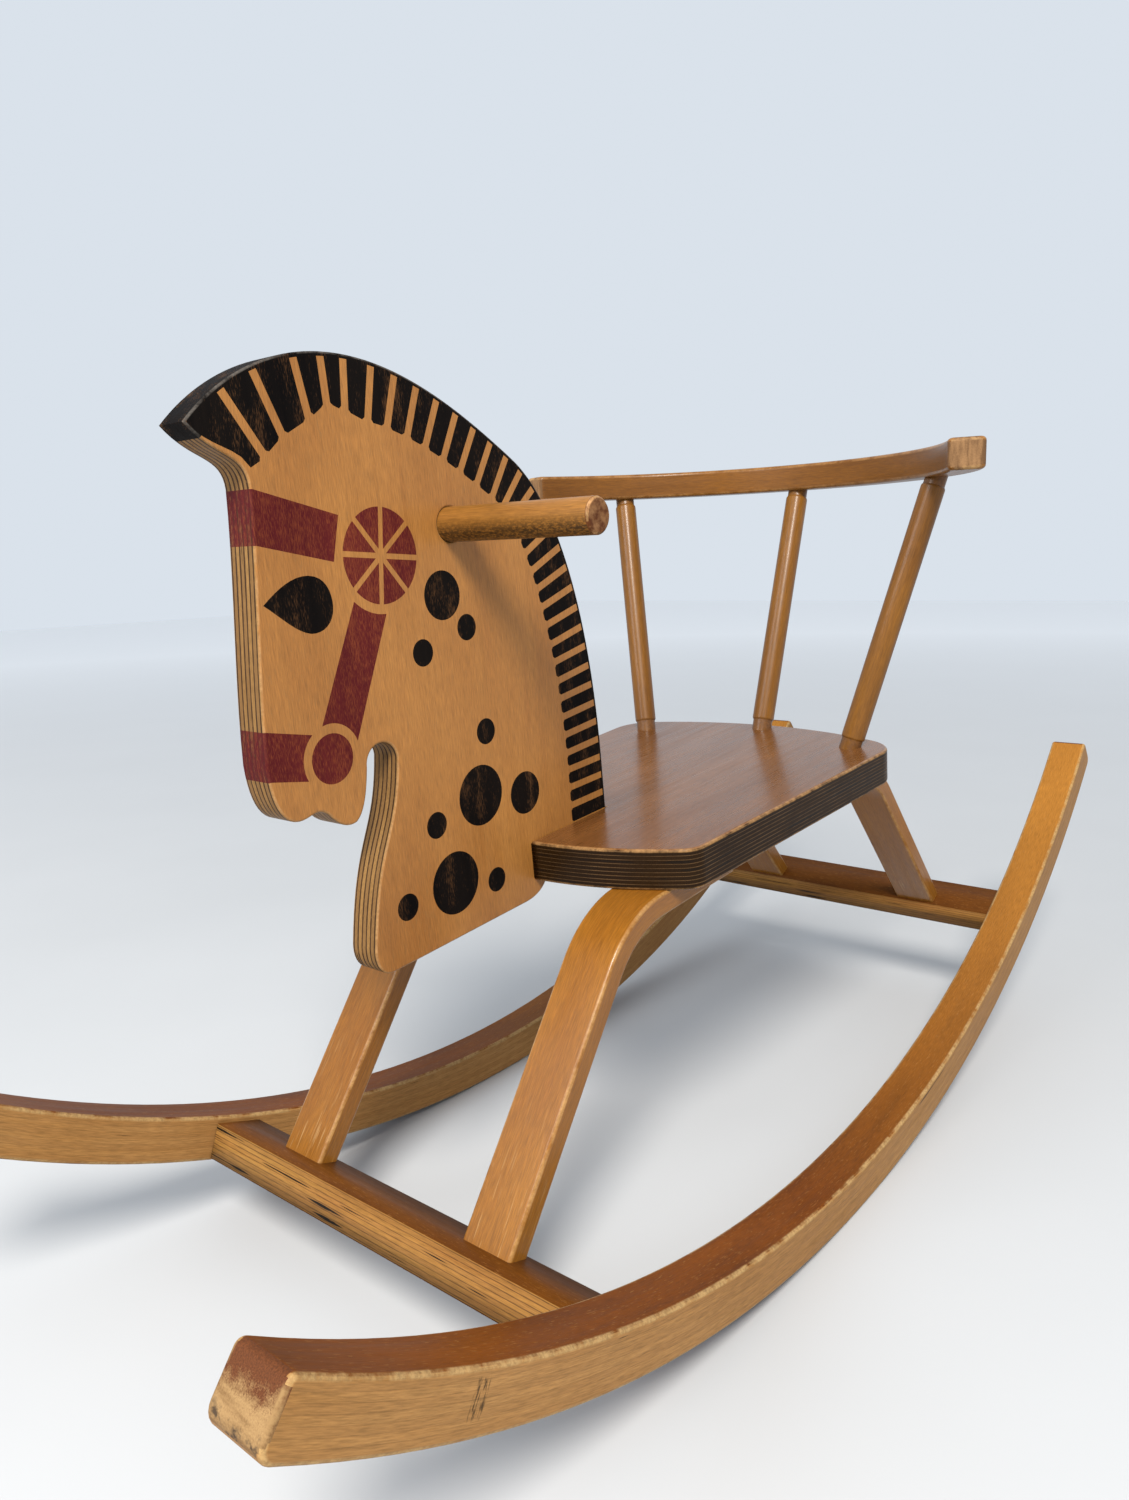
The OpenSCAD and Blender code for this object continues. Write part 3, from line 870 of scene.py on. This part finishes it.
def head_outline():
    return ([Vector((NECK_BACK, SEAT_BOTTOM))] + neck_and_crown() + forelock_underside()
            + curve((359.5, 513), (362.5, 470), (372, 419), (374.5, 377), 10)
            + curve((374.5, 377), (374.3, 355), (368, 344.3), (357, 345), 12)
            + curve((357, 345), (350.5, 345.5), (347, 349), (341, 343.5), 8)
            + curve((341, 343.5), (334, 334), (328, 332.5), (323, 334), 8)
            + curve((323, 334), (316, 338), (313, 352), (311.2, 361.7), 10)
            + arc((300.2, 361.7), 11, 0, 180, 18)
            + curve((289.2, 361.7), (296, 316), (311, 321), (322.5, 258), 20)
            + curve((322.5, 258), (324, 249), (320, 240), (311, 240), 10)
            + [Vector((195, 240))]
            + curve((195, 240), (185, 240), (175, 244), (172.5, SEAT_BOTTOM), 8))


class Track:
    """A line of points that can be asked for a place and its inward direction."""

    def __init__(self, points):
        self.points = clean(points)
        self.at = [0.0]
        for a, b in zip(self.points, self.points[1:]):
            self.at.append(self.at[-1] + (b - a).length)
        self.length = self.at[-1]

    def place(self, s, inwards):
        i = next((k for k in range(1, len(self.at) - 1) if self.at[k] > s), len(self.at) - 1)
        a, b = self.points[i - 1], self.points[i]
        u = (b - a).normalized()
        return a + u * (s - self.at[i - 1]) + inwards * Vector((u.y, -u.x))


def blended(table, x):
    """A value read off a short table of (x, value) pairs, straight between them."""
    for (x0, v0), (x1, v1) in zip(table, table[1:]):
        if x <= x1:
            return v0 + (v1 - v0) * (x - x0) / (x1 - x0)
    return table[-1][1]


# The head's materials by number: its plain wood is 0
BLACK, RED = 1, 2

# Length of the mane's teeth, by the distance up the neck from the seat
TOOTH_LENGTHS = [(0, 38), (158, 36), (208, 33.5), (253, 30), (378, 31), (408, 25.5), (428, 32.5),
                 (473, 38.5), (510, 38)]
# The gaps between the teeth are spaced a little wider each time up the neck. Over
# the crown and the forelock each has its own place.
FIRST_GAP = 12.0
LOW_PITCH = 12.7
PITCH_GROWTH = 4.3
FORELOCK_GAPS = [375, 393.7, 408.6, 425.8, 451.9, 473.6]
BORDER = 2.4
GAP = 4.6
TOOTH_ROUND = 1.5
OVERHANG = 4


def mane_gaps(length):
    forelock = FORELOCK_GAPS[0]
    gaps = [FIRST_GAP]
    while gaps[-1] < forelock - 10:
        gaps.append(gaps[-1] + LOW_PITCH + PITCH_GROWTH * gaps[-1] / forelock)
    gaps = [g * forelock / gaps[-1] for g in gaps] + FORELOCK_GAPS[1:]
    return [-GAP / 2] + gaps + [length + GAP / 2]


def mane():
    """The strip along the edge and the teeth that stand in from it."""
    track = Track(neck_and_crown())
    gaps = mane_gaps(track.length)
    line = [track.length * i / 120 for i in range(121)]
    strip = [track.place(s, -OVERHANG) for s in line]
    strip += [track.place(s, BORDER) for s in line[::-1]]
    shapes = [(BLACK, strip)]
    for s0, s1 in zip(gaps, gaps[1:]):
        sides = []
        for s, towards in ((s0, 1), (s1, -1)):
            root = track.place(s, 0)
            lean = track.place(s, 1) - root
            along = Vector((-lean.y, lean.x))
            root += along * towards * GAP / 2
            long = blended(TOOTH_LENGTHS, s + 4 * towards)
            sides.append([root + lean * BORDER / 2, root + lean * (long - TOOTH_ROUND),
                          root + lean * long + along * towards * TOOTH_ROUND])
        if s1 == gaps[-1]:
            # The last tooth ends along the forelock's underside
            under = Track(forelock_underside())
            sides[1] = [track.place(track.length, BORDER / 2)]
            sides[1] += [under.place(s, 0.6 + s / 10) for s in (3, 8, 13, 18, 23, 28, 33)]
        shapes.append((BLACK, sides[0] + sides[1][::-1]))
    return shapes


def wedge(centre, r, start, end, gap):
    """One painted sector of the rosette, set back from its spokes."""
    middle = (start + end) / 2
    tip = Vector(centre) + polar(middle, gap / math.sin(math.radians((end - start) / 2)))
    trim = math.degrees(gap / r)
    return [tip] + arc(centre, r, start + trim, end - trim, 8)


ROSETTE = (283.3, 472.8)
ROSETTE_R = 26
BIT = (333.6, 372.2)
BIT_R = 13.6
STRAP_GAP = 5.2
SPOKES = 8
SPOKE_TURN = 8
SPOKE_HALF_WIDTH = 1.5


def bridle():
    """The browband, the rosette, the cheek strap, the noseband and the bit."""
    rosette, bit = Vector(ROSETTE), Vector(BIT)
    browband = [(375, 517), (359.2, 512.4), (308.7, 496.3), (315.5, 473), (361, 485.5), (375, 489)]
    cheek = (arc(rosette, ROSETTE_R + STRAP_GAP, -44, -88, 8)
             + arc(bit, BIT_R + STRAP_GAP, 163, 78, 10))
    noseband = ([(385, 399), (371, 395)] + arc(bit, BIT_R + STRAP_GAP, 55, -25, 10)
                + [(373.8, 370), (385, 373)])
    shapes = [browband, cheek, noseband, arc(bit, BIT_R, 0, 350, 35)]
    spokes = [SPOKE_TURN + 360 * i / SPOKES for i in range(SPOKES + 1)]
    shapes += [wedge(ROSETTE, ROSETTE_R, a, b, SPOKE_HALF_WIDTH)
               for a, b in zip(spokes, spokes[1:])]
    return [(RED, shape) for shape in shapes]


def teardrop():
    """The eye: round behind and drawn to a point in front."""
    point = (362.2, 456.7)
    return (curve(point, (352, 464), (343, 469), (333, 468), 8)
            + curve((333, 468), (322, 466.5), (319.6, 458), (319.8, 451), 8)
            + curve((319.8, 451), (320.5, 442), (328, 437.5), (336, 438.8), 8)
            + curve((336, 438.8), (345, 441), (352, 449), point, 8))


# Places and radii of the dapples
DAPPLES = [((241, 446), 14.2), ((224, 425), 7.8), ((261, 416), 7.8), ((217, 360), 8),
           ((227, 322), 18.8), ((187, 312.5), 13.8), ((266, 314.5), 8), ((256, 275), 19.3),
           ((221, 265), 7.8), ((295.5, 274), 8)]

HEAD_EDGE_R = 1.3
paint = mane() + bridle() + [(BLACK, teardrop())]
paint += [(BLACK, arc(at, r, 0, 351, 39)) for at, r in DAPPLES]
handle_hole = arc((HANDLE_AT.x, HANDLE_AT.z), HANDLE_D / 2, 0, 350, 35)
piece("painted_head", slab(head_outline(), HEAD_T, HEAD_EDGE_R, [handle_hole], paint),
      "horse_head", [head_wood, head_black, head_red], lambda p: (p.z, p.x, p.y))


# ---- Handle ----

HANDLE_CHAMFER = 1.5


def bar_profile(length, d, chamfer):
    """A round bar with softened chamfers."""
    half, r = length / 2, d / 2
    rise = chamfer * 0.3
    end = [(half - chamfer, r, 0.0), (half - chamfer + rise, r - rise * 0.5, 1.0),
           (half - rise * 0.5, r - chamfer + rise, 1.0), (half, r - chamfer, 0.4)]
    return [(-z, w, s) for z, w, s in end[::-1]] + [(0, r, 0.0)] + end


ALONG_Y = Matrix.Translation(HANDLE_AT) @ Matrix.Rotation(math.radians(-90), 4, "X")
piece("handle_dowel", turned(bar_profile(HANDLE_L, HANDLE_D, HANDLE_CHAMFER)), "handle_bar",
      [handle_wood, handle_end], lambda p: (p.y, p.x - HANDLE_AT.x, p.z - HANDLE_AT.z), ALONG_Y)


# ---- Backrest ----

def spindle_head(side):
    """Where a spindle meets the middle of the rail's underside."""
    psi = math.radians(side * SPINDLE_SPREAD)
    slope = math.radians(RAIL_SLOPE)
    reach = RAIL_R * math.cos(psi)
    return Vector((RAIL_X - reach * math.cos(slope), RAIL_R * math.sin(psi),
                   RAIL_Z - reach * math.sin(slope)))


def spindle_foot(side):
    psi = math.radians(side * FOOT_SPREAD)
    return Vector((FOOT_RING_X - FOOT_RING_R * math.cos(psi), FOOT_RING_R * math.sin(psi), SEAT_TOP))


def spindle_profile(length):
    """A plain round spindle with a rounded shoulder above each tenon."""
    slim, full = TENON_D / 2, SPINDLE_D / 2
    shoulder = [(TENON_SHOW - 0.6, slim, 1.0), (TENON_SHOW, slim + 0.3, 1.0),
                (TENON_SHOW + 0.5, full - 0.3, 0.6), (TENON_SHOW + 1.6, full, 0.0)]
    start = [(-TENON_HIDDEN, slim, 1.0)] + shoulder
    return start + [(length / 2, full, 0.0)] + [(length - z, r, w) for z, r, w in start[::-1]]


def spindle(side, name):
    foot_at = spindle_foot(side)
    run = spindle_head(side) - foot_at
    stand = Matrix.Translation(foot_at) @ run.to_track_quat("Z", "Y").to_matrix().to_4x4()
    unstand = stand.inverted()
    # Each spindle is cut from its own place in the wood
    offset = 40 * side

    def grain(p):
        q = unstand @ p
        return (q.z + offset, q.x + offset, q.y)
    piece(name + "_turned_spindle", turned(spindle_profile(run.length), 40), name + "_spindle",
          [spindle_wood, spindle_wood], grain, stand)


spindle(LEFT, "left")
spindle(0, "centre")
spindle(RIGHT, "right")

RAIL_EDGE_R = 3
rail = slab(bent_bar((0, 0), RAIL_R - RAIL_T / 2, RAIL_R + RAIL_T / 2, -RAIL_HALF_ANGLE,
                     RAIL_HALF_ANGLE, RAIL_CORNER_R, RAIL_CORNER_R, 48), RAIL_H, RAIL_EDGE_R)
# Drawn with its middle at -z, then laid flat so that its middle points backwards
rail_place = (Matrix.Translation((RAIL_X, 0, RAIL_Z))
              @ Matrix.Rotation(math.radians(-RAIL_SLOPE), 4, "Y")
              @ Matrix.Translation((0, 0, RAIL_H / 2))
              @ Matrix(((0, 0, 1, 0), (1, 0, 0, 0), (0, 1, 0, 0), (0, 0, 0, 1))))
rail_back = rail_place.inverted()


def rail_grain(p):
    q = rail_back @ p
    flat = Vector((q.x, q.z))
    return (math.atan2(flat.x, -flat.y) * RAIL_R, q.y, flat.length - RAIL_R)


piece("bent_back_rail", rail, "back_rail", [rail_wood, rail_end], rail_grain, rail_place)


# ---- Hidden dowels, which keep their CAD shape ----

for node in ("front_crossbar_dowels", "rear_crossbar_dowels", "head_dowel"):
    hidden = frame["nodes"][node]
    hidden.data.materials.clear()
    hidden.data.materials.append(dowel_wood)


# ---- Screws ----

def screw():
    """A countersunk wood screw, its head towards -z and just proud of the wood."""
    return turned([(SCREW_DRIVE_DEPTH, 1.2, 0), (-SCREW_PROUD, 1.7, 0),
                   (-SCREW_PROUD, SCREW_HEAD_D / 2 - 0.2, 0), (0, SCREW_HEAD_D / 2, 0),
                   (SCREW_HEAD_H, SCREW_D / 2, 0), (SCREW_L, SCREW_D / 2, 0)], 24, 0)


screws = Solid()
for end in (FRONT, REAR):
    for side in (LEFT, RIGHT):
        for step in (SCREW_INSET, LEG_RUN - SCREW_INSET):
            one = screw().bm
            at = (bend_centre(end).x - end * step, side * LEG_Y, SEAT_BOTTOM - LEG_T)
            one.transform(Matrix.Translation(at))
            drawn = bpy.data.meshes.new("screw")
            one.to_mesh(drawn)
            screws.bm.from_mesh(drawn)
            bpy.data.meshes.remove(drawn)
piece("countersunk_screws", screws, "leg_screws", [screw_steel], lambda p: p)


# ---- Floor, light and camera ----

FLOOR_SIZE = 9
FLOOR_NEAR, FLOOR_FAR = 0.8, 5.5


def floor():
    """A pale floor painted brighter with distance, so that it melts into the backdrop: painted light
    where the lamps' light falls off.
    """
    bm = bmesh.new()
    bmesh.ops.create_grid(bm, x_segments=24, y_segments=24, size=FLOOR_SIZE)
    mesh = bpy.data.meshes.new("floor")
    bm.to_mesh(mesh)
    bm.free()
    s = Shader("floor_white")
    at = s.node("TexCoord").outputs["Object"]
    mottle = s.noise(at, (3, 3, 3), 3.0)
    near = s.mix(mottle, rgb(0.48, 0.485, 0.49), rgb(0.52, 0.525, 0.53))
    reach = s.node("VectorMath", {0: at}, operation="LENGTH").outputs["Value"]
    # Painted light: far away the floor is made about as bright as the backdrop
    far = s.ramp(reach, FLOOR_NEAR, FLOOR_FAR)
    s.put(s.surface.inputs["Base Color"], s.mix(far, near, rgb(0.94, 0.94, 0.94)))
    s.surface.inputs["Roughness"].default_value = 0.8
    s.surface.inputs["Specular IOR Level"].default_value = 0.2
    mesh.materials.append(s.material)
    made = bpy.data.objects.new("floor", mesh)
    bpy.context.scene.collection.objects.link(made)


def softbox(name, at, target, size, power, colour):
    data = bpy.data.lights.new(name, "AREA")
    data.shape = "DISK"
    data.size = size
    data.energy = power
    data.color = colour
    made = bpy.data.objects.new(name, data)
    made.location = at
    made.rotation_euler = (Vector(target) - Vector(at)).to_track_quat("-Z", "Y").to_euler()
    bpy.context.scene.collection.objects.link(made)


def studio():
    bpy.context.scene.view_settings.view_transform = "Standard"
    world = bpy.data.worlds.new("studio")
    bpy.context.scene.world = world
    world.use_nodes = True
    sky = world.node_tree.nodes["Background"]
    sky.inputs["Color"].default_value = rgb(0.70, 0.76, 0.83)
    sky.inputs["Strength"].default_value = 1.0
    softbox("key", (1.9, 1.3, 2.4), (0, 0, 0.2), 0.9, 130, (1.0, 0.96, 0.9))
    softbox("fill", (2.6, -0.8, 1.6), (0, 0, 0.25), 1.4, 30, (0.92, 0.96, 1.0))


CAMERA_AT = Vector((672.9, 455.2, 501.4))
CAMERA_LENS = 25.563
YAW, PITCH, ROLL = 0.8714, 0.2430, -0.0870


def camera():
    """Stands near the horse's front left, in the bench's own frame, looking slightly
    down."""
    data = bpy.data.cameras.new("camera")
    data.lens = CAMERA_LENS
    data.sensor_width = 36
    data.clip_start = 0.01
    ahead = Vector((-math.sin(YAW) * math.cos(PITCH), -math.cos(YAW) * math.cos(PITCH),
                    -math.sin(PITCH)))
    level = ahead.cross(Vector((0, 0, 1))).normalized()
    rise = level.cross(ahead)
    right = level * math.cos(ROLL) + rise * math.sin(ROLL)
    up = rise * math.cos(ROLL) - level * math.sin(ROLL)
    view = Matrix((right, up, -ahead)).transposed().to_4x4()
    view.translation = CAMERA_AT * MM
    made = bpy.data.objects.new("camera", data)
    made.matrix_world = BENCH @ view
    bpy.context.scene.collection.objects.link(made)
    bpy.context.scene.camera = made


floor()
studio()
camera()
